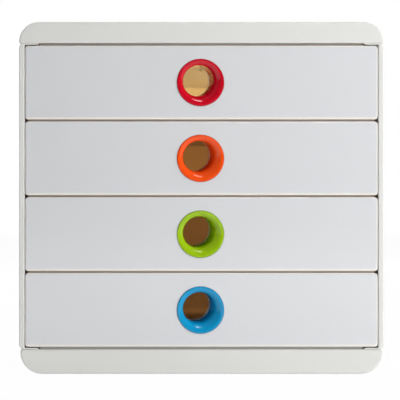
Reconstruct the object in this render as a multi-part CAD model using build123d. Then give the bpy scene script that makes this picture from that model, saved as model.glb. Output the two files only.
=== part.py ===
from build123d import *
import os
from math import cos, radians, sin

# A desktop tower of four pull-out drawers for A4 sheets, with a coloured finger ring in each front.
# Millimetres. X runs to the viewer's right, Y runs from the front to the back, Z is up.
# The origin is the middle of the footprint, on the surface that the rubber feet stand on.

# ---------------------------------------------------------------- driving dimensions

# Casing
casing_width = 290.0
casing_depth = 350.0
drawer_colours = ["red", "orange", "green", "blue"]  # from the top down

# Covers: moulded caps that close the casing above and below
cover_wall = 2.4
cover_edge_radius = 1.3
top_cover_height = 17.0
top_corner_radius = 15.8
top_lip_radius = 0.9
base_cover_height = 19.5
base_corner_radius = 17.2
base_lip_radius = 1.8
base_inset = 1.0
base_rebate_depth = 2.2
base_rebate_wall = 1.6
base_rebate_root = 3.0
cover_rib_height = 3.0
cover_rib_thickness = 1.5
cover_rib_pitch_x = 58.0
cover_rib_pitch_y = 68.0
boss_radius = 4.2
peg_radius = 2.4
peg_reach = 1.2
peg_clearance = 0.2
peg_from_side = 8.0
peg_from_end = 30.0

# Side panels: C-shaped walls with a bead along the front edge and runners on the inside
side_wall = 2.6
side_corner_radius = 4.0
bead_width = 4.3
bead_depth = 5.0
bead_edge_radius = 0.8
flange_width = 16.0
flange_thickness = 1.15
flange_tip_slope = 1.6
flange_clearance = 0.6
runner_width = 7.4
runner_root = 2.2
runner_tip = 1.5
guide_gap = 0.7
nib_length = 4.0
nib_height = 1.9
nib_ramp = 1.3

# Back panel: a sheet that slides in grooves of the side panels
back_thickness = 2.2
back_from_rear = 5.0
back_clearance = 0.3
groove_rib_width = 4.5
groove_rib_thickness = 1.8
swage_height = 1.2
swage_width = 7.0
swage_end_gap = 22.0
back_tongue = 4.0

# Drawer fronts
front_height = 58.8
front_gap = 1.5
front_side_gap = 0.35
front_end_gap = 0.75
front_thickness = 3.2
front_corner_radius = 2.6
front_edge_radius = 1.2
return_wall = 1.6
return_depth = 4.2
front_lip_depth = 2.8
front_peg_radius = 2.4
front_peg_reach = 1.4
front_peg_from_side = 36.0
front_peg_rise = 15.0

# Finger rings: a flared mouth, with a bore that leans to the left and up as it goes in
ring_from_middle = -0.7
ring_radius = 18.7
ring_proud = 0.7
ring_lip = 0.9
ring_edge_radius = 0.63
ring_recess_depth = 1.9
ring_recess_clearance = 0.25
ring_spigot_radius = 16.6
ring_clearance = 0.2
bore_radius = 12.8
mouth_depth = 4.6
mouth_steps = 4
throat_left = 1.9  # where the mouth ends, mm to the left of the ring's centre
throat_up = 1.8
tube_left = 6.1  # where the collar ends
tube_up = 3.4
collar_wall = 1.8
collar_depth = 22.0
collar_shoulder = 2.0
collar_seat_margin = 1.6
bore_overrun = 0.5

# Drawer trays
tray_side_gap = 9.4
tray_wall = 2.0
tray_floor = 2.0
tray_rise = 3.2
tray_height = 50.0
tray_taper = 1.2
tray_corner_radius = 8.0
tray_floor_radius = 3.0
tray_rear_gap = 8.0
rim_side_gap = 2.8
rim_thickness = 1.8
rim_lip = 2.2
rim_lip_wall = 1.6
running_gap = 0.3
stop_web = 2.4
drawer_travel = 240.0

# Rubber feet
foot_radius = 8.0
foot_proud = 1.2
foot_pocket = 1.0
foot_edge_radius = 0.6
foot_from_side = 30.0
foot_from_end = 32.0

# ---------------------------------------------------------------- sizes worked out from them

half_width = casing_width / 2
front_y = -(casing_depth - ring_proud) / 2
rear_y = front_y + casing_depth
drawer_count = len(drawer_colours)
front_width = casing_width - 2 * (bead_width + front_side_gap)
front_pitch = front_height + front_gap
end_gap = flange_thickness + front_end_gap
base_top = foot_proud + base_cover_height
stack_height = drawer_count * front_height + (drawer_count - 1) * front_gap
panel_top = base_top + stack_height + 2 * end_gap
inner_face = half_width - side_wall
flange_tip = half_width - flange_width
runner_reach = inner_face - runner_width
front_back_y = front_y + front_thickness
front_peg_x = front_width / 2 - front_peg_from_side
return_back_y = front_y + return_depth
runner_front_y = return_back_y + running_gap
back_panel_rear_y = rear_y - back_from_rear
back_panel_front_y = back_panel_rear_y - back_thickness
tray_rear_y = back_panel_front_y - tray_rear_gap
tray_width = 2 * (inner_face - tray_side_gap)
rim_outer = inner_face - rim_side_gap
rim_rear_y = tray_rear_y - tray_corner_radius
rim_top_rise = tray_rise + tray_height
runner_top_rise = rim_top_rise - rim_thickness - rim_lip - running_gap
stop_web_y = rim_rear_y - stop_web
nib_rear_y = stop_web_y - running_gap - drawer_travel
ring_hole_radius = ring_spigot_radius + ring_clearance
spigot_depth = front_thickness + tray_wall
peg_x = half_width - peg_from_side
peg_ys = [front_y + peg_from_end, (front_y + rear_y) / 2, rear_y - peg_from_end]


def front_bottom(index):
    """Height of the lower edge of a drawer front, where index 0 is the top drawer."""
    return panel_top - end_gap - front_height - index * front_pitch


# ---------------------------------------------------------------- drawing helpers


def facing(y):
    """Plane at depth y that faces the viewer: its x is the width and its y is the height."""
    return Plane(origin=(0, y, 0), x_dir=(1, 0, 0), z_dir=(0, -1, 0))


def between(sketch, y_front, y_rear):
    """Solid of a sketch drawn in front view, from y_front back to y_rear."""
    return extrude(facing(y_rear) * sketch, amount=y_rear - y_front)


def block(x_range, y_range, z_range):
    """Box between two values on each axis."""
    size = [high - low for low, high in (x_range, y_range, z_range)]
    return Pos(x_range[0], y_range[0], z_range[0]) * Box(*size, align=Align.MIN)


def post(x, y, radius, z_low, z_high):
    """Upright round bar."""
    return Pos(x, y, z_low) * Cylinder(radius, z_high - z_low, align=(Align.CENTER, Align.CENTER, Align.MIN))


def plug(x, z, radius, y_front, y_rear):
    """Round bar that runs from front to back."""
    return between(Pos(x, z) * Circle(radius), y_front, y_rear)


def leaning_disc(radius, depth, z_centre):
    """Circle at a depth behind the casing's front, moved along the finger bore's lean."""
    in_mouth = min(max(depth, 0), mouth_depth) / mouth_depth
    in_tube = max(depth - mouth_depth, 0) / (collar_depth - mouth_depth)
    left = throat_left * in_mouth + (tube_left - throat_left) * in_tube
    up = throat_up * in_mouth + (tube_up - throat_up) * in_tube
    return facing(front_y + depth) * Pos(ring_from_middle - left, z_centre + up) * Circle(radius)


def leaning_bar(radius, depth_front, depth_rear, z_centre):
    """Slanted round bar along the finger bore's lean."""
    return loft([leaning_disc(radius, depth_front, z_centre), leaning_disc(radius, depth_rear, z_centre)])


# ---------------------------------------------------------------- covers


def cap_profile(width, height, corner):
    """Cap in front view: it stands on z = 0 and its two upper corners are round."""
    outline = Pos(0, height / 2) * Rectangle(width, height)
    return fillet(outline.vertices().group_by(Axis.Y)[-1], corner)


def cap_shell(width, height, corner, lip):
    """Hollow cap, open below, with soft edges round its front, rear and lip."""
    outer = between(cap_profile(width, height, corner), front_y, rear_y)
    ends = outer.edges().filter_by(GeomType.CIRCLE)
    ends += outer.edges().filter_by(Axis.X).group_by(Axis.Z)[-1]
    ends += outer.edges().filter_by(Axis.Z)
    outer = fillet(ends, cover_edge_radius)
    outer = fillet(outer.faces().sort_by(Axis.Z)[0].edges(), lip)
    hollow = cap_profile(width - 2 * cover_wall, height - cover_wall, corner - cover_wall)
    return outer - between(hollow, front_y + cover_wall, rear_y - cover_wall)


def cap_ribs(width, height):
    """Lattice of stiffening ribs on the inside of the cap's flat wall."""
    z_range = (height - cover_wall - cover_rib_height, height - cover_wall / 2)
    half_rib = cover_rib_thickness / 2
    y_range = (front_y + cover_wall / 2, rear_y - cover_wall / 2)
    lengthways = int(peg_x / cover_rib_pitch_x)
    crossways = int((casing_depth / 2 - cover_wall) / cover_rib_pitch_y)
    middle_y = (front_y + rear_y) / 2
    ribs = []
    for step in range(-lengthways, lengthways + 1):
        x = step * cover_rib_pitch_x
        ribs.append(block((x - half_rib, x + half_rib), y_range, z_range))
    for step in range(-crossways, crossways + 1):
        y = middle_y + step * cover_rib_pitch_y
        ribs.append(block((-peg_x, peg_x), (y - half_rib, y + half_rib), z_range))
    return ribs


def cap_bosses(height):
    """Bosses that seat on the side panels' flanges."""
    return [post(x, y, boss_radius, 0, height) for x in (-peg_x, peg_x) for y in peg_ys]


def cap_pegs():
    """Pegs under the bosses, each for one of the flanges' holes."""
    return [post(x, y, peg_radius, -flange_thickness - peg_reach, cover_wall)
            for x in (-peg_x, peg_x) for y in peg_ys]


def cap(width, height, corner, lip):
    """A whole cover, open below, seated on z = 0."""
    half_wall = cover_wall / 2
    within_walls = between(cap_profile(width - cover_wall, height - half_wall, corner - half_wall),
                           front_y + half_wall, rear_y - half_wall)
    stiffening = [piece & within_walls for piece in cap_ribs(width, height) + cap_bosses(height)]
    return cap_shell(width, height, corner, lip) + stiffening + cap_pegs()


def top_cover():
    return Pos(0, 0, panel_top) * cap(casing_width, top_cover_height, top_corner_radius, top_lip_radius)


def base_rebate():
    """Upstand behind the base cover's front lip, which closes the gap under the lowest drawer front."""
    reach = flange_tip - flange_clearance
    y_front = front_y + base_rebate_depth
    z_range = (base_top - base_rebate_root, base_top + end_gap - running_gap)
    return block((-reach, reach), (y_front, y_front + base_rebate_wall), z_range)


def base_cover():
    """The same kind of cap turned over, with a pocket for each foot."""
    width = casing_width - 2 * base_inset
    body = cap(width, base_cover_height, base_corner_radius, base_lip_radius)
    body = Pos(0, 0, base_top) * body.mirror(Plane.XY) + base_rebate()
    pocket_radius = foot_radius + peg_clearance
    return body - [post(x, y, pocket_radius, 0, foot_proud + foot_pocket) for x, y in foot_places()]


# ---------------------------------------------------------------- feet


def foot_places():
    """Middle of each foot, seen from above."""
    x = half_width - foot_from_side
    return [(-x, front_y + foot_from_end), (x, front_y + foot_from_end),
            (-x, rear_y - foot_from_end), (x, rear_y - foot_from_end)]


def rubber_foot(place):
    foot = post(place[0], place[1], foot_radius, 0, foot_proud + foot_pocket)
    return fillet(foot.edges().group_by(Axis.Z)[0], foot_edge_radius)


# ---------------------------------------------------------------- side panels


def panel_outline():
    """Left panel's outer shape in front view, filled, with round outer corners."""
    height = panel_top - base_top
    outline = Pos(flange_width / 2 - half_width, base_top + height / 2) * Rectangle(flange_width, height)
    return fillet(outline.vertices().group_by(Axis.X)[0], side_corner_radius)


def panel_hollow():
    """What is left out of the outline: the space between the flanges, whose tips slope."""
    low = base_top + flange_thickness
    high = panel_top - flange_thickness
    tip = -flange_tip
    slope = tip - flange_tip_slope
    return make_face(Polyline(
        (-inner_face, low), (slope, low), (tip, base_top), (tip + flange_width, base_top),
        (tip + flange_width, panel_top), (tip, panel_top), (slope, high), (-inner_face, high), close=True))


def panel_shell():
    """Wall, flanges and front bead, with the front edges rounded."""
    height = panel_top - base_top
    strip = Pos(bead_width / 2 - half_width, base_top + height / 2) * Rectangle(bead_width, height)
    bead = between(panel_outline() & strip, front_y, front_y + bead_depth)
    bead = fillet(front_edges(bead).filter_by(Axis.Z).sort_by(Axis.X)[-1], bead_edge_radius)
    shell = between(panel_outline() - panel_hollow(), front_y, rear_y) + bead
    outer_edges = front_edges(shell).filter_by(Axis.Z).sort_by(Axis.X)[:1]
    outer_edges += front_edges(shell).filter_by(GeomType.CIRCLE)
    return fillet(outer_edges, bead_edge_radius)


def front_edges(solid):
    """Edges that lie in the casing's front plane."""
    return solid.edges().filter_by(lambda edge: abs(edge.center().Y - front_y) < 1e-6)


def runner(index):
    """Ledge that carries one drawer's rim, and the guide above it that stops the drawer tipping."""
    top = front_bottom(index) + runner_top_rise
    guide = front_bottom(index) + rim_top_rise + guide_gap
    root = -inner_face - side_wall / 2
    tip = -runner_reach
    ledge = [(root, top), (tip, top), (tip, top - runner_tip), (root, top - runner_root)]
    rail = [(root, guide), (tip, guide), (tip, guide + runner_tip), (root, guide + runner_root)]
    y_rear = back_panel_front_y - back_clearance - groove_rib_thickness
    return [between(make_face(Polyline(*corners, close=True)), runner_front_y, y_rear)
            for corners in (ledge, rail)]


def stop_nib(index):
    """Ramped nib on the ledge that catches the drawer's rear stop."""
    top = front_bottom(index) + runner_top_rise
    root = top - runner_tip / 2
    nib_front_y = nib_rear_y - nib_length
    ramp_end_y = nib_rear_y - nib_ramp
    side = Polyline((nib_front_y, root), (nib_front_y, top), (ramp_end_y, top + nib_height),
                    (nib_rear_y, top + nib_height), (nib_rear_y, root), close=True)
    outer = rim_outer - rim_lip_wall - 2 * running_gap
    return extrude(Plane.YZ.offset(-outer) * make_face(side), amount=outer - runner_reach)


def groove_ribs():
    """The two upright ribs that hold the back panel's edge."""
    front_rib = back_panel_front_y - back_clearance - groove_rib_thickness
    rear_rib = back_panel_rear_y + back_clearance
    x_range = (-inner_face - side_wall / 2, -inner_face + groove_rib_width)
    z_range = (base_top + flange_thickness / 2, panel_top - flange_thickness / 2)
    return [block(x_range, (y, y + groove_rib_thickness), z_range) for y in (front_rib, rear_rib)]


def peg_holes():
    """Holes in the flanges for the covers' pegs."""
    radius = peg_radius + peg_clearance
    return [post(-peg_x, y, radius, z - 2 * flange_thickness, z + 2 * flange_thickness)
            for y in peg_ys for z in (base_top, panel_top)]


def left_side_panel():
    panel = panel_shell() + groove_ribs()
    for index in range(drawer_count):
        panel += runner(index)
        panel += stop_nib(index)
    return panel - peg_holes()


# ---------------------------------------------------------------- back panel


def back_panel():
    """Sheet whose tongues reach into the covers, with a shallow swage behind each gap between drawers."""
    half = inner_face - back_clearance
    low = base_top + flange_thickness
    high = panel_top - flange_thickness - back_clearance
    y_range = (back_panel_front_y, back_panel_rear_y)
    sheet = block((-half, half), y_range, (low, high))
    tongue = flange_tip - flange_clearance
    sheet += block((-tongue, tongue), y_range, (base_top - back_tongue, panel_top + back_tongue))
    length = 2 * (half - swage_end_gap)
    for index in range(drawer_count - 1):
        height = front_bottom(index) - front_gap / 2
        slot = Pos(0, height) * SlotOverall(length, swage_width)
        swage = between(slot, back_panel_rear_y - back_thickness / 2, back_panel_rear_y + swage_height)
        rim = swage.faces().sort_by(Axis.Y)[-1].edges()
        sheet += chamfer(rim, swage_height / 2)
    return sheet


# ---------------------------------------------------------------- drawer fronts


def front_lip(index):
    """Set-back lip that closes the gap above the front. The top one fits between the flanges."""
    reach = front_width / 2 - front_corner_radius
    rise = front_gap - running_gap
    if index == 0:
        reach = flange_tip - flange_clearance
        rise = end_gap - running_gap
    top = front_bottom(index) + front_height
    return block((-reach, reach), (front_y + front_lip_depth, return_back_y), (top - return_wall, top + rise))


def drawer_front(index):
    """Cover plate with a turned-back rim, a stepped hole for the ring and four pegs."""
    low = front_bottom(index)
    middle = low + front_height / 2
    outline = Pos(0, middle) * RectangleRounded(front_width, front_height, front_corner_radius)
    plate = between(outline, front_y, return_back_y)
    plate = fillet(plate.faces().sort_by(Axis.Y)[0].edges(), front_edge_radius)
    field = RectangleRounded(front_width - 2 * return_wall, front_height - 2 * return_wall,
                             front_corner_radius - return_wall / 2)
    plate -= between(Pos(0, middle) * field, front_back_y, return_back_y)
    recess_radius = ring_radius + ring_recess_clearance
    plate -= plug(ring_from_middle, middle, recess_radius, front_y, front_y + ring_recess_depth)
    plate -= plug(ring_from_middle, middle, ring_hole_radius, front_y, front_back_y)
    plate += front_lip(index)
    return plate + front_pegs(middle, front_peg_radius, front_back_y - front_thickness / 2,
                              front_back_y + tray_wall + front_peg_reach)


def front_pegs(middle, radius, y_front, y_rear):
    """Round bars at the four places where the front is pegged to the tray."""
    return [plug(x, z, radius, y_front, y_rear)
            for x in (-front_peg_x, front_peg_x)
            for z in (middle - front_peg_rise, middle + front_peg_rise)]


# ---------------------------------------------------------------- finger rings


def ring_mouth(z_centre):
    """Flared hollow of the ring: a bellmouth that ends in the bore."""
    mouth_radius = ring_radius - ring_lip
    flare = mouth_radius - bore_radius
    fall = mouth_depth + ring_proud
    discs = []
    for step in range(mouth_steps + 1):
        turn = radians(90 * step / mouth_steps)
        radius = mouth_radius - flare * sin(turn)
        depth = fall * (1 - cos(turn)) - ring_proud
        discs.append(leaning_disc(radius, depth, z_centre))
    return loft(discs)


def finger_ring(index):
    """Flanged ring that sits in the front's recess, with a spigot through to the tray's collar."""
    middle = front_bottom(index) + front_height / 2
    seat_y = front_y + ring_recess_depth
    flange = plug(ring_from_middle, middle, ring_radius, front_y - ring_proud, seat_y)
    flange = fillet(flange.edges().sort_by(Axis.Y)[0], ring_edge_radius)
    spigot = plug(ring_from_middle, middle, ring_spigot_radius, front_y, front_y + spigot_depth)
    bore = leaning_bar(bore_radius, mouth_depth, spigot_depth, middle)
    return flange + spigot - ring_mouth(middle) - bore


# ---------------------------------------------------------------- drawer trays


def tray_block(width, y_front, y_rear, z_low, z_high, corner):
    """Block with round upright corners, whose sides and rear draw in towards the bottom."""
    length = y_rear - y_front
    upper = Pos(0, (y_front + y_rear) / 2, z_high) * RectangleRounded(width, length, corner)
    lower = Pos(0, (y_front + y_rear - tray_taper) / 2, z_low) * RectangleRounded(
        width - 2 * tray_taper, length - tray_taper, corner)
    return loft([lower, upper], ruled=True)


def tray_shell(low, high):
    """Open tray with rounded floor edges."""
    outer = tray_block(tray_width, front_back_y, tray_rear_y, low, high, tray_corner_radius)
    outer = fillet(outer.faces().sort_by(Axis.Z)[0].edges(), tray_floor_radius)
    inner = tray_block(tray_width - 2 * tray_wall, front_back_y + tray_wall, tray_rear_y - tray_wall,
                       low + tray_floor, high, tray_corner_radius - tray_wall)
    inner = fillet(inner.faces().sort_by(Axis.Z)[0].edges(), tray_floor_radius - tray_floor / 2)
    return outer - inner


def tray_rim(side, top):
    """Side rim: a plate with a turned-down lip that runs on the ledge, closed at the rear by the stop."""
    wall = tray_width / 2 - tray_wall / 2
    y_range = (return_back_y + 2 * running_gap, rim_rear_y)
    under = top - rim_thickness
    foot = under - rim_lip
    plate = block((wall, rim_outer), y_range, (under, top))
    lip = block((rim_outer - rim_lip_wall, rim_outer), y_range, (foot, top))
    stop = block((wall, rim_outer), (stop_web_y, rim_rear_y), (foot, top))
    rim = plate + lip + stop
    if side == "left":
        return rim.mirror(Plane.YZ)
    return rim


def finger_collar(middle):
    """White tube behind the ring: a shoulder that the ring's spigot meets, then the leaning tube."""
    wall_rear = front_y + spigot_depth
    shoulder = plug(ring_from_middle, middle, ring_hole_radius + collar_seat_margin,
                    front_back_y + tray_wall / 2, wall_rear + collar_shoulder)
    tube = leaning_bar(bore_radius + collar_wall, spigot_depth, collar_depth, middle)
    return shoulder + tube


def drawer_tray(index):
    low = front_bottom(index) + tray_rise
    top = low + tray_height
    middle = front_bottom(index) + front_height / 2
    tray = tray_shell(low, top) + finger_collar(middle)
    tray += [tray_rim(side, top) for side in ("left", "right")]
    tray -= plug(ring_from_middle, middle, ring_hole_radius, front_back_y, front_y + spigot_depth)
    tray -= leaning_bar(bore_radius, spigot_depth - bore_overrun, collar_depth + bore_overrun, middle)
    return tray - front_pegs(middle, front_peg_radius + peg_clearance, front_y, front_back_y + 2 * tray_wall)


# ---------------------------------------------------------------- the whole tower


def tower():
    """Every piece of the tower by its name."""
    left = left_side_panel()
    pieces = {
        "top_cover": top_cover(),
        "base_cover": base_cover(),
        "left_side_panel": left,
        "right_side_panel": left.mirror(Plane.YZ),
        "back_panel": back_panel(),
    }
    names = ("foot_front_left", "foot_front_right", "foot_rear_left", "foot_rear_right")
    for name, place in zip(names, foot_places()):
        pieces[name] = rubber_foot(place)
    for index, colour in enumerate(drawer_colours):
        pieces[colour + "_drawer_tray"] = drawer_tray(index)
        pieces[colour + "_drawer_front"] = drawer_front(index)
        pieces[colour + "_finger_ring"] = finger_ring(index)
    return pieces


os.makedirs("parts", exist_ok=True)
for name, piece in tower().items():
    export_step(piece, "parts/" + name + ".step")
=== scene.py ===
import math

import bpy
from mathutils import Matrix, Vector


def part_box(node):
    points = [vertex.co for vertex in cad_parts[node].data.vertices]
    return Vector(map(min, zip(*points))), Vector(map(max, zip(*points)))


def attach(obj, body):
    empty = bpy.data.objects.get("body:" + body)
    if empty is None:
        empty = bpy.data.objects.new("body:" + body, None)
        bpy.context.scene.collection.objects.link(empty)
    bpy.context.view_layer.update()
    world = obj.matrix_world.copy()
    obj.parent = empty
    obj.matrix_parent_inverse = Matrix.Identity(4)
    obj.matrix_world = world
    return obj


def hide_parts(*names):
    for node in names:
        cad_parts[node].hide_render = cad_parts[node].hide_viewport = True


# A white desktop tower of four pull-out drawers with coloured finger rings, in soft studio light.
# Metres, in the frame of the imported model: X to the viewer's right, Y to the back, Z up.

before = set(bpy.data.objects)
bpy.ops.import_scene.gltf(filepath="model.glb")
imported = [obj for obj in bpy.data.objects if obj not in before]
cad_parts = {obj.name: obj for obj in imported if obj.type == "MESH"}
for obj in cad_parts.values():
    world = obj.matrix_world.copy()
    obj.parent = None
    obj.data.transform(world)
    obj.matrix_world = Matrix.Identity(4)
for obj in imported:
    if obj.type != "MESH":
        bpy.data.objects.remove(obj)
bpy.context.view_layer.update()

# ---------------------------------------------------------------- sizes and places

DRAWERS = ("red", "orange", "green", "blue")
SIDES = ("left_side_panel", "right_side_panel")
FEET = ("foot_front_left", "foot_front_right", "foot_rear_left", "foot_rear_right")

FRONT_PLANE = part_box("top_cover")[0].y

# Finger rings; depths are measured back from the ring's face
RING_SIDES = 96
RING_SEAT = 0.0026  # depth of the shoulder that sits in the drawer front
RING_EDGE = 0.00063  # rounding of the outer edge
RING_LIP = 0.0009  # from the outer edge in to where the mouth begins
RING_SPIGOT_RADIUS = 0.0166
EDGE_STEPS = 4
MOUTH_STEPS = 12
MOUTH_DEPTH = 0.0053
RING_PROUD = 0.0007  # how far the face stands out from the drawer front
BORE_RADIUS = 0.01258
SLEEVE_RADIUS = 0.01275  # outside of the thin sleeve that lines the tray's collar
SLEEVE_DEPTH = 0.0180
WELD_DISTANCE = 1e-6
RING_CREASE = math.radians(40)  # sharper edges than this stay sharp
THROAT_LEFT = 0.0019  # how far the mouth's narrow end lies left of and above the ring's centre
THROAT_UP = 0.0018
TUBE_SLOPE_LEFT = 0.241  # and how much further the bore leans for each metre of depth
TUBE_SLOPE_UP = 0.092

# Where painted shade and painted highlight begin on a face, measured back from the front plane
FACE_DEPTH = 0.0014  # a front keeps its white to here, with painted shade behind
REBATE_START = 0.0008
REBATE_FAR = 0.004
REBATE_LOW = 0.0172  # height above the desk
RECESS_BLUR = 0.0008
RIM_WIDTH = 0.0028  # painted highlight along a front's rounded top and bottom edges
SIDE_RIM_NARROWING = 3.0  # how much narrower the rim is along its sides

# Camera
CAMERA_DISTANCE = 1.05
CAMERA_X = -0.0011
CAMERA_HEIGHT = 0.1395
FRAME_WIDTH = 0.318  # width of the front plane that the picture shows
SENSOR_WIDTH = 36.0
CLIP_START = 0.01

FLOOR_SIZE = 8.0

# ---------------------------------------------------------------- colours, as linear values

CASING_WHITE = (0.765, 0.765, 0.742)
REBATE_PAINTED_SHADE = (0.37, 0.365, 0.345)  # painted shade in the base cover's rebate, under the lowest front
FRONT_WHITE = (0.72, 0.73, 0.75)
FRONT_RIM_PAINTED_HIGHLIGHT = (0.96, 0.89, 0.81)  # painted highlight on the thin rounded rims of the fronts
FRONT_BACK_PAINTED_SHADE = (0.42, 0.36, 0.325)  # painted shade on all of a front behind its face, as dark as the shaded gaps
TRAY_WHITE = (0.80, 0.78, 0.72)
RUBBER_GREY = (0.16, 0.16, 0.16)
RING_COLOURS = {
    "red": (0.60, 0.001, 0.015),
    "orange": (0.93, 0.085, 0.005),
    "green": (0.33, 0.54, 0.004),
    "blue": (0.003, 0.31, 0.60),
}
FLOOR_GREY = (0.9, 0.9, 0.9)
FLOOR_ROUGHNESS = 0.9
FLOOR_WHITE = 0.975  # share of plain white in what the camera sees of the floor
AMBIENT = 0.11
AMBIENT_TINT = (1.0, 0.99, 0.975)
WHITE = (1.0, 1.0, 1.0)
WHITE_FROM = -0.35  # mirrored rays turn to white as their direction's Y goes from here
WHITE_TO = 0.15  # to here

# Size of the patterns in the plastics, as noise scales
TONE_SCALE = 9.0
SMEAR_SCALE = 38.0
WAVE_SCALE = 16.0
GRAIN_RELIEF = 0.0002
WAVE_RELIEF = 0.002


# ---------------------------------------------------------------- shared effects


def new_group(name, inputs, outputs):
    """Empty shader node group with named sockets, and its input and output nodes."""
    group = bpy.data.node_groups.new(name, "ShaderNodeTree")
    for label, kind, value in inputs:
        socket = group.interface.new_socket(label, in_out="INPUT", socket_type=kind)
        socket.default_value = value
    for label, kind in outputs:
        group.interface.new_socket(label, in_out="OUTPUT", socket_type=kind)
    return group, group.nodes.new("NodeGroupInput"), group.nodes.new("NodeGroupOutput")


def feed(tree, socket, value):
    """Sets a socket to a number, or links another socket to it."""
    if isinstance(value, (int, float)):
        socket.default_value = value
    else:
        tree.links.new(value, socket)


def noise(tree, vector, scale, detail, roughness=0.5):
    """Noise on the given coordinates; scale is a number or a socket."""
    node = tree.nodes.new("ShaderNodeTexNoise")
    node.inputs["Detail"].default_value = detail
    node.inputs["Roughness"].default_value = roughness
    feed(tree, node.inputs["Vector"], vector)
    feed(tree, node.inputs["Scale"], scale)
    return node.outputs["Fac"]


def math_node(tree, operation, *values):
    """Math node whose values are numbers or sockets."""
    node = tree.nodes.new("ShaderNodeMath")
    node.operation = operation
    for index, value in enumerate(values):
        feed(tree, node.inputs[index], value)
    return node.outputs["Value"]


def moulded_plastic_group():
    """Tone drift, roughness, fine moulded grain and slight waviness of an injection-moulded face."""
    group, source, sink = new_group(
        "moulded_plastic",
        [("Colour", "NodeSocketColor", (0.7, 0.7, 0.7, 1.0)),
         ("Tone Drift", "NodeSocketFloat", 0.03),
         ("Roughness", "NodeSocketFloat", 0.4),
         ("Roughness Drift", "NodeSocketFloat", 0.08),
         ("Grain Scale", "NodeSocketFloat", 1500.0),
         ("Grain Height", "NodeSocketFloat", 0.1),
         ("Waviness", "NodeSocketFloat", 0.05)],
        [("Colour", "NodeSocketColor"), ("Roughness", "NodeSocketFloat"), ("Normal", "NodeSocketVector")])
    place = group.nodes.new("ShaderNodeTexCoord").outputs["Object"]
    links = group.links

    drift = math_node(group, "SUBTRACT", noise(group, place, TONE_SCALE, 4.0), 0.5)
    tone = math_node(group, "MULTIPLY_ADD", drift, source.outputs["Tone Drift"], 1.0)
    shade = group.nodes.new("ShaderNodeVectorMath")
    shade.operation = "SCALE"
    links.new(source.outputs["Colour"], shade.inputs[0])
    links.new(tone, shade.inputs["Scale"])
    links.new(shade.outputs["Vector"], sink.inputs["Colour"])

    smears = math_node(group, "SUBTRACT", noise(group, place, SMEAR_SCALE, 5.0, 0.6), 0.5)
    gloss = math_node(group, "MULTIPLY_ADD", smears, source.outputs["Roughness Drift"],
                      source.outputs["Roughness"])
    links.new(gloss, sink.inputs["Roughness"])

    fine = group.nodes.new("ShaderNodeBump")
    fine.inputs["Distance"].default_value = GRAIN_RELIEF
    links.new(source.outputs["Grain Height"], fine.inputs["Strength"])
    links.new(noise(group, place, source.outputs["Grain Scale"], 2.0), fine.inputs["Height"])
    wave = group.nodes.new("ShaderNodeBump")
    wave.inputs["Distance"].default_value = WAVE_RELIEF
    links.new(source.outputs["Waviness"], wave.inputs["Strength"])
    links.new(noise(group, place, WAVE_SCALE, 1.0), wave.inputs["Height"])
    links.new(fine.outputs["Normal"], wave.inputs["Normal"])
    links.new(wave.outputs["Normal"], sink.inputs["Normal"])
    return group


def object_axes(group):
    """Object coordinates, one socket for each axis."""
    axes = group.nodes.new("ShaderNodeSeparateXYZ")
    group.links.new(group.nodes.new("ShaderNodeTexCoord").outputs["Object"], axes.inputs["Vector"])
    return axes.outputs


def smooth_step(group, value, low, high):
    """0 up to low and 1 from high on, with a smooth turn between them."""
    ramp = group.nodes.new("ShaderNodeMapRange")
    ramp.interpolation_type = "SMOOTHSTEP"
    for label, source in (("Value", value), ("From Min", low), ("From Max", high)):
        feed(group, ramp.inputs[label], source)
    return ramp.outputs["Result"]


def recess_group():
    """Mask of what lies behind the front plane, from Start to Far, and above Low, where shade is painted."""
    group, source, sink = new_group(
        "recess",
        [("Start", "NodeSocketFloat", 0.0),
         ("Far", "NodeSocketFloat", 1.0),
         ("Low", "NodeSocketFloat", -1.0)],
        [("Mask", "NodeSocketFloat")])
    axes = object_axes(group)
    start, far = source.outputs["Start"], source.outputs["Far"]
    above = math_node(group, "GREATER_THAN", axes["Z"], source.outputs["Low"])
    behind = smooth_step(group, axes["Y"], start, math_node(group, "ADD", start, RECESS_BLUR))
    past = smooth_step(group, axes["Y"], far, math_node(group, "ADD", far, RECESS_BLUR))
    both = math_node(group, "MULTIPLY", behind, math_node(group, "SUBTRACT", 1.0, past))
    group.links.new(math_node(group, "MULTIPLY", both, above), sink.inputs["Mask"])
    return group


def rim_group():
    """Mask along the four edges of each drawer front, where a highlight is painted; the fronts repeat
    upwards at an equal pitch.
    """
    group, source, sink = new_group(
        "front_rim",
        [("Middle X", "NodeSocketFloat", 0.0), ("Half Width", "NodeSocketFloat", 0.14),
         ("Bottom", "NodeSocketFloat", 0.0), ("Pitch", "NodeSocketFloat", 0.06),
         ("Half Height", "NodeSocketFloat", 0.03), ("Rim", "NodeSocketFloat", 0.0015)],
        [("Mask", "NodeSocketFloat")])
    axes = object_axes(group)
    put = source.outputs
    across = math_node(group, "ABSOLUTE", math_node(group, "SUBTRACT", axes["X"], put["Middle X"]))
    from_side = math_node(group, "SUBTRACT", put["Half Width"], across)
    above_lowest = math_node(group, "SUBTRACT", axes["Z"], put["Bottom"])
    up = math_node(group, "FLOORED_MODULO", above_lowest, put["Pitch"])
    from_middle = math_node(group, "ABSOLUTE", math_node(group, "SUBTRACT", up, put["Half Height"]))
    from_edge = math_node(group, "SUBTRACT", put["Half Height"], from_middle)
    widened = math_node(group, "MULTIPLY", from_side, SIDE_RIM_NARROWING)
    nearest = math_node(group, "MINIMUM", widened, from_edge)
    inside = smooth_step(group, nearest, 0.0, put["Rim"])
    group.links.new(math_node(group, "SUBTRACT", 1.0, inside), sink.inputs["Mask"])
    return group


MOULDED = moulded_plastic_group()
RECESS = recess_group()
FRONT_RIM_HIGHLIGHT_MASK = rim_group()

# ---------------------------------------------------------------- materials


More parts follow.
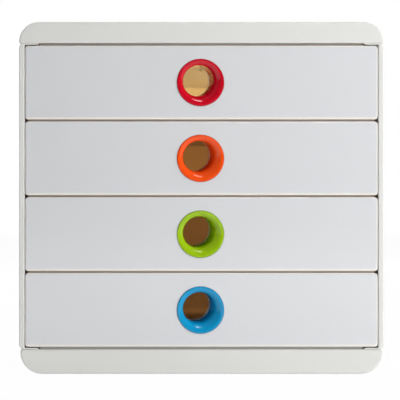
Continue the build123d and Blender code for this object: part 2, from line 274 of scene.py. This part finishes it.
def plastic(name, colour, values, shader):
    """Moulded plastic: values are the group's inputs and shader is set on the Principled BSDF."""
    material = bpy.data.materials.new(name)
    material.use_nodes = True
    nodes, links = material.node_tree.nodes, material.node_tree.links
    principled = nodes["Principled BSDF"]
    surface = nodes.new("ShaderNodeGroup")
    surface.name = "surface"
    surface.node_tree = MOULDED
    surface.inputs["Colour"].default_value = (*colour, 1.0)
    for label, value in values.items():
        surface.inputs[label].default_value = value
    for label, socket in (("Colour", "Base Color"), ("Roughness", "Roughness"), ("Normal", "Normal")):
        links.new(surface.outputs[label], principled.inputs[socket])
    for label, value in shader.items():
        principled.inputs[label].default_value = value
    return material


def colour_socket(sockets, label):
    """The colour socket of that name on a Mix node, which has others of the same name."""
    return next(socket for socket in sockets if socket.name == label and socket.type == "RGBA")


def tint_where(material, group, values, tint):
    """Lays a colour over the surface's colour so far, where the group's mask is 1."""
    nodes, links = material.node_tree.nodes, material.node_tree.links
    target = nodes["surface"].inputs["Colour"]
    mask = nodes.new("ShaderNodeGroup")
    mask.node_tree = group
    for label, value in values.items():
        mask.inputs[label].default_value = value
    mix = nodes.new("ShaderNodeMix")
    mix.data_type = "RGBA"
    links.new(mask.outputs["Mask"], mix.inputs["Factor"])
    if target.is_linked:
        links.new(target.links[0].from_socket, colour_socket(mix.inputs, "A"))
    else:
        colour_socket(mix.inputs, "A").default_value = target.default_value
    colour_socket(mix.inputs, "B").default_value = (*tint, 1.0)
    links.new(colour_socket(mix.outputs, "Result"), target)


def casing_plastic(name="casing_satin_white"):
    return plastic(name, CASING_WHITE, {"Roughness": 0.42, "Grain Height": 0.25, "Tone Drift": 0.02}, {})


def base_plastic():
    """The casing's plastic, with painted shade in the rebate under the lowest drawer front."""
    material = casing_plastic("base_satin_white")
    rebate = {"Start": FRONT_PLANE + REBATE_START, "Far": FRONT_PLANE + REBATE_FAR, "Low": REBATE_LOW}
    # painted shade in the rebate under the lowest front
    tint_where(material, RECESS, rebate, REBATE_PAINTED_SHADE)
    return material


def back_plastic():
    return plastic("back_satin_white", CASING_WHITE,
                   {"Roughness": 0.5, "Grain Height": 0.35, "Grain Scale": 1100.0, "Tone Drift": 0.03}, {})


def front_plastic():
    """Glossy cool white in front, a painted warm highlight along the rims, and painted warm shade on all
    behind the face.
    """
    material = plastic("front_gloss_white", FRONT_WHITE,
                       {"Roughness": 0.14, "Grain Height": 0.0, "Waviness": 0.06, "Tone Drift": 0.015},
                       {"Coat Weight": 0.2})
    low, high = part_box(DRAWERS[-1] + "_drawer_front")
    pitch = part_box(DRAWERS[-2] + "_drawer_front")[0].z - low.z
    rim = {"Middle X": (low.x + high.x) / 2, "Half Width": (high.x - low.x) / 2, "Bottom": low.z,
           "Pitch": pitch, "Half Height": (high.z - low.z) / 2, "Rim": RIM_WIDTH}
    # painted highlight along the fronts' rounded edges
    tint_where(material, FRONT_RIM_HIGHLIGHT_MASK, rim, FRONT_RIM_PAINTED_HIGHLIGHT)
    # painted shade on all of each front behind its face
    tint_where(material, RECESS, {"Start": FRONT_PLANE + FACE_DEPTH}, FRONT_BACK_PAINTED_SHADE)
    return material


def tray_plastic():
    return plastic("tray_white", TRAY_WHITE,
                   {"Roughness": 0.35, "Grain Height": 0.1, "Waviness": 0.1, "Tone Drift": 0.03}, {})


def ring_plastic(colour):
    return plastic(colour + "_ring_gloss", RING_COLOURS[colour],
                   {"Roughness": 0.07, "Roughness Drift": 0.03, "Grain Height": 0.0, "Waviness": 0.03,
                    "Tone Drift": 0.05},
                   {"Specular IOR Level": 0.45})


def foot_rubber():
    return plastic("foot_rubber", RUBBER_GREY,
                   {"Roughness": 0.75, "Grain Height": 0.6, "Grain Scale": 900.0, "Tone Drift": 0.15}, {})


def paint(piece, material):
    """Gives a piece its only material."""
    piece.data.materials.clear()
    piece.data.materials.append(material)


def paint_nodes():
    casing = casing_plastic()
    front = front_plastic()
    tray = tray_plastic()
    rubber = foot_rubber()
    for node in ("top_cover", *SIDES):
        paint(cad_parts[node], casing)
    paint(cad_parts["base_cover"], base_plastic())
    paint(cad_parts["back_panel"], back_plastic())
    for node in FEET:
        paint(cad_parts[node], rubber)
    for colour in DRAWERS:
        paint(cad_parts[colour + "_drawer_tray"], tray)
        paint(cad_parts[colour + "_drawer_front"], front)


# ---------------------------------------------------------------- finger rings


def quarter_turn(steps):
    """Angles from 0 to a right angle."""
    return [math.pi / 2 * step / steps for step in range(steps + 1)]


def edge_loops(outer_radius):
    """Round outer edge of the ring. A loop is a radius, a depth, and the shifts to the left and up."""
    loops = []
    for turn in quarter_turn(EDGE_STEPS):
        radius = outer_radius - RING_EDGE * (1 - math.cos(turn))
        loops.append((radius, RING_EDGE * (1 - math.sin(turn)), 0.0, 0.0))
    return loops


def mouth_loops(lip_radius):
    """Flared mouth, a quarter of an ellipse that leans to the upper left."""
    loops = []
    for turn in quarter_turn(MOUTH_STEPS):
        radius = lip_radius - (lip_radius - BORE_RADIUS) * math.sin(turn)
        depth = MOUTH_DEPTH * (1 - math.cos(turn))
        part = max(depth - RING_PROUD, 0.0) / (MOUTH_DEPTH - RING_PROUD)
        loops.append((radius, depth, THROAT_LEFT * part, THROAT_UP * part))
    return loops


def tube_loop(radius, depth):
    """Loop of the leaning bore or of the sleeve's outside."""
    beyond = depth - MOUTH_DEPTH
    return (radius, depth, THROAT_LEFT + TUBE_SLOPE_LEFT * beyond, THROAT_UP + TUBE_SLOPE_UP * beyond)


def ring_loops(outer_radius, spigot_depth):
    """Closed section: over the edge, through the mouth and the sleeve, and back outside the spigot."""
    shoulder = (outer_radius, RING_SEAT, 0.0, 0.0)
    sleeve = [tube_loop(BORE_RADIUS, SLEEVE_DEPTH), tube_loop(SLEEVE_RADIUS, SLEEVE_DEPTH),
              tube_loop(SLEEVE_RADIUS, spigot_depth)]
    spigot = [(RING_SPIGOT_RADIUS, spigot_depth, 0.0, 0.0), (RING_SPIGOT_RADIUS, RING_SEAT, 0.0, 0.0)]
    return [shoulder, *edge_loops(outer_radius), *mouth_loops(outer_radius - RING_LIP), *sleeve, *spigot,
            shoulder]


def make_first_ring(name, node):
    """Models the ring in edit mode: one circle, extruded, scaled and moved from loop to loop."""
    low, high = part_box(node)
    centre = (low + high) / 2
    loops = ring_loops((high.x - low.x) / 2, high.y - low.y)
    radius, depth, left, up = loops[0]
    middle = Vector((centre.x - left, low.y + depth, centre.z + up))
    bpy.ops.object.select_all(action="DESELECT")
    bpy.ops.mesh.primitive_circle_add(vertices=RING_SIDES, radius=radius, location=middle,
                                      rotation=(math.pi / 2, 0, 0))
    ring = bpy.context.object
    ring.name = name
    bpy.ops.object.transform_apply(location=True, rotation=True, scale=True)
    bpy.ops.object.mode_set(mode="EDIT")
    bpy.ops.mesh.select_all(action="SELECT")
    for next_radius, depth, left, up in loops[1:]:
        place = Vector((centre.x - left, low.y + depth, centre.z + up))
        bpy.ops.mesh.extrude_region_move(TRANSFORM_OT_translate={"value": place - middle})
        scale = next_radius / radius
        bpy.ops.transform.resize(value=(scale, 1, scale), center_override=place)
        radius, middle = next_radius, place
    bpy.ops.mesh.select_all(action="SELECT")
    bpy.ops.mesh.remove_doubles(threshold=WELD_DISTANCE)
    bpy.ops.mesh.normals_make_consistent(inside=False)
    bpy.ops.object.mode_set(mode="OBJECT")
    bpy.ops.object.shade_smooth_by_angle(angle=RING_CREASE)
    return ring


def copy_ring(first, name, first_node, node):
    """A copy of the first ring with its own mesh, moved in the mesh to another node's place."""
    ring = first.copy()
    ring.data = first.data.copy()
    ring.name = name
    ring.data.transform(Matrix.Translation(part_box(node)[0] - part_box(first_node)[0]))
    bpy.context.scene.collection.objects.link(ring)
    return ring


def make_rings():
    first_node = DRAWERS[0] + "_finger_ring"
    first = make_first_ring(DRAWERS[0] + "_ring", first_node)
    for colour in DRAWERS:
        node = colour + "_finger_ring"
        ring = first
        if colour != DRAWERS[0]:
            ring = copy_ring(first, colour + "_ring", first_node, node)
        paint(ring, ring_plastic(colour))
        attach(ring, colour + "_drawer")
        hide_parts(node)


# ---------------------------------------------------------------- stage


def background_share(tree, toward=1.0):
    """1 for the camera's rays, and toward, a number or a socket, for glossy and transmission rays."""
    path = tree.nodes.new("ShaderNodeLightPath")
    mirrored = math_node(tree, "MAXIMUM", path.outputs["Is Glossy Ray"], path.outputs["Is Transmission Ray"])
    mirrored = math_node(tree, "MULTIPLY", mirrored, toward)
    return math_node(tree, "MAXIMUM", path.outputs["Is Camera Ray"], mirrored)


def mix_shaders(tree, share, first, second, output):
    """Sends a mix of two shaders to an output's surface."""
    mix = tree.nodes.new("ShaderNodeMixShader")
    tree.links.new(share, mix.inputs["Fac"])
    tree.links.new(first, mix.inputs[1])
    tree.links.new(second, mix.inputs[2])
    tree.links.new(mix.outputs["Shader"], output.inputs["Surface"])


def plain_light(tree, colour, strength):
    """Background shader of one colour."""
    node = tree.nodes.new("ShaderNodeBackground")
    node.inputs["Color"].default_value = (*colour, 1.0)
    node.inputs["Strength"].default_value = strength
    return node.outputs["Background"]


def make_world():
    """White to the camera, white behind the object in mirrored rays, and dim plain light all round."""
    world = bpy.data.worlds.new("studio")
    bpy.context.scene.world = world
    world.use_nodes = True
    tree = world.node_tree
    tree.nodes.clear()
    axes = tree.nodes.new("ShaderNodeSeparateXYZ")
    tree.links.new(tree.nodes.new("ShaderNodeTexCoord").outputs["Generated"], axes.inputs["Vector"])
    behind = tree.nodes.new("ShaderNodeMapRange")
    behind.inputs["From Min"].default_value = WHITE_FROM
    behind.inputs["From Max"].default_value = WHITE_TO
    tree.links.new(axes.outputs["Y"], behind.inputs["Value"])
    mix_shaders(tree, background_share(tree, behind.outputs["Result"]),
                plain_light(tree, AMBIENT_TINT, AMBIENT), plain_light(tree, WHITE, 1.0),
                tree.nodes.new("ShaderNodeOutputWorld"))


def floor_material():
    """White to the camera but for a trace of the diffuse floor, which keeps the object's shadow."""
    material = bpy.data.materials.new("studio_floor")
    material.use_nodes = True
    tree = material.node_tree
    principled = tree.nodes["Principled BSDF"]
    principled.inputs["Base Color"].default_value = (*FLOOR_GREY, 1.0)
    principled.inputs["Roughness"].default_value = FLOOR_ROUGHNESS
    white = tree.nodes.new("ShaderNodeEmission").outputs["Emission"]
    mix_shaders(tree, math_node(tree, "MULTIPLY", background_share(tree), FLOOR_WHITE),
                principled.outputs["BSDF"], white, tree.nodes["Material Output"])
    return material


def make_floor():
    bpy.ops.object.select_all(action="DESELECT")
    bpy.ops.mesh.primitive_plane_add(size=FLOOR_SIZE, location=(0, 0, 0))
    floor = bpy.context.object
    floor.name = "studio_floor"
    floor.data.materials.append(floor_material())


def make_camera():
    """Camera square to the fronts, in line with the middle of the tower."""
    data = bpy.data.cameras.new("photo_camera")
    data.sensor_width = SENSOR_WIDTH
    data.lens = SENSOR_WIDTH * CAMERA_DISTANCE / FRAME_WIDTH
    data.clip_start = CLIP_START
    camera = bpy.data.objects.new("photo_camera", data)
    camera.location = (CAMERA_X, FRONT_PLANE - CAMERA_DISTANCE, CAMERA_HEIGHT)
    camera.rotation_euler = (math.pi / 2, 0, 0)
    bpy.context.scene.collection.objects.link(camera)
    bpy.context.scene.camera = camera


# ---------------------------------------------------------------- light

STUDIO_LAMPS = (
    # name, place, point that it faces, width, height, watts
    ("key_right", (1.15, -0.85, 0.20), (0.0, 0.0, 0.14), 0.9, 0.9, 17.2),
    ("fill_left", (-0.9, -1.4, 0.15), (0.0, 0.0, 0.14), 1.4, 0.8, 0.8),
    ("fill_low", (0.1, -0.80, 0.03), (0.0, -0.17, 0.10), 0.7, 0.05, 0.72),
    ("rear_left", (-1.2, 1.1, 0.60), (0.0, 0.0, 0.14), 1.2, 1.0, 16.0),
    ("rear_right", (1.0, 1.5, 0.50), (0.0, 0.0, 0.14), 1.2, 1.0, 13.0),
    ("overhead", (0.0, 0.35, 1.60), (0.0, 0.10, 0.28), 1.0, 1.0, 4.0),
    ("top_spark", (0.15, -0.58, 1.15), (0.0, -0.17, 0.14), 0.46, 0.08, 3.1),
)

MIRRORED_LAMP = "top_spark"  # the only studio lamp that gloss shows

# Lamps inside the drawers, set so that each finger hole has its tone. They stand for daylight through
# the thin walls, which is a guess. The top one is the yellowest, and each is weaker than the one above.
# Each lamp faces what is seen through its hole: the rear wall, and for blue the floor before it.
GLOW_WIDTH = 0.20
GLOW_HEIGHT = 0.025
GLOWS = {
    # colour: light, watts, distance from the tray's rear, height above its underside, downward tilt
    "red": ((1.0, 0.62, 0.24), 0.125, 0.150, 0.050, math.radians(-25)),
    "orange": ((1.0, 0.42, 0.12), 0.0225, 0.100, 0.038, math.radians(-15)),
    "green": ((1.0, 0.42, 0.12), 0.0125, 0.090, 0.030, 0.0),
    "blue": ((1.0, 0.43, 0.13), 0.0092, 0.060, 0.046, math.radians(55)),
}


def add_lamp(name, place, target, width, height, watts):
    """Rectangular area lamp that faces a point."""
    data = bpy.data.lights.new(name, "AREA")
    data.shape = "RECTANGLE"
    data.size = width
    data.size_y = height
    data.energy = watts
    lamp = bpy.data.objects.new(name, data)
    lamp.location = place
    lamp.rotation_euler = (Vector(target) - Vector(place)).to_track_quat("-Z", "Y").to_euler()
    lamp.visible_camera = False
    bpy.context.scene.collection.objects.link(lamp)
    return lamp


def add_glows():
    """One dim warm lamp inside the casing behind each finger hole."""
    for colour, (tone, watts, from_rear, height, tilt) in GLOWS.items():
        low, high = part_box(colour + "_drawer_tray")
        place = Vector((0.0, high.y - from_rear, low.z + height))
        ahead = Vector((0.0, math.cos(tilt), -math.sin(tilt)))
        lamp = add_lamp(colour + "_inside_glow", place, place + ahead, GLOW_WIDTH, GLOW_HEIGHT, watts)
        lamp.data.color = tone


# ---------------------------------------------------------------- the scene

bpy.context.scene.view_settings.view_transform = "Standard"
paint_nodes()
make_rings()
make_world()
make_floor()
make_camera()
for lamp in STUDIO_LAMPS:
    add_lamp(*lamp).visible_glossy = lamp[0] == MIRRORED_LAMP
add_glows()
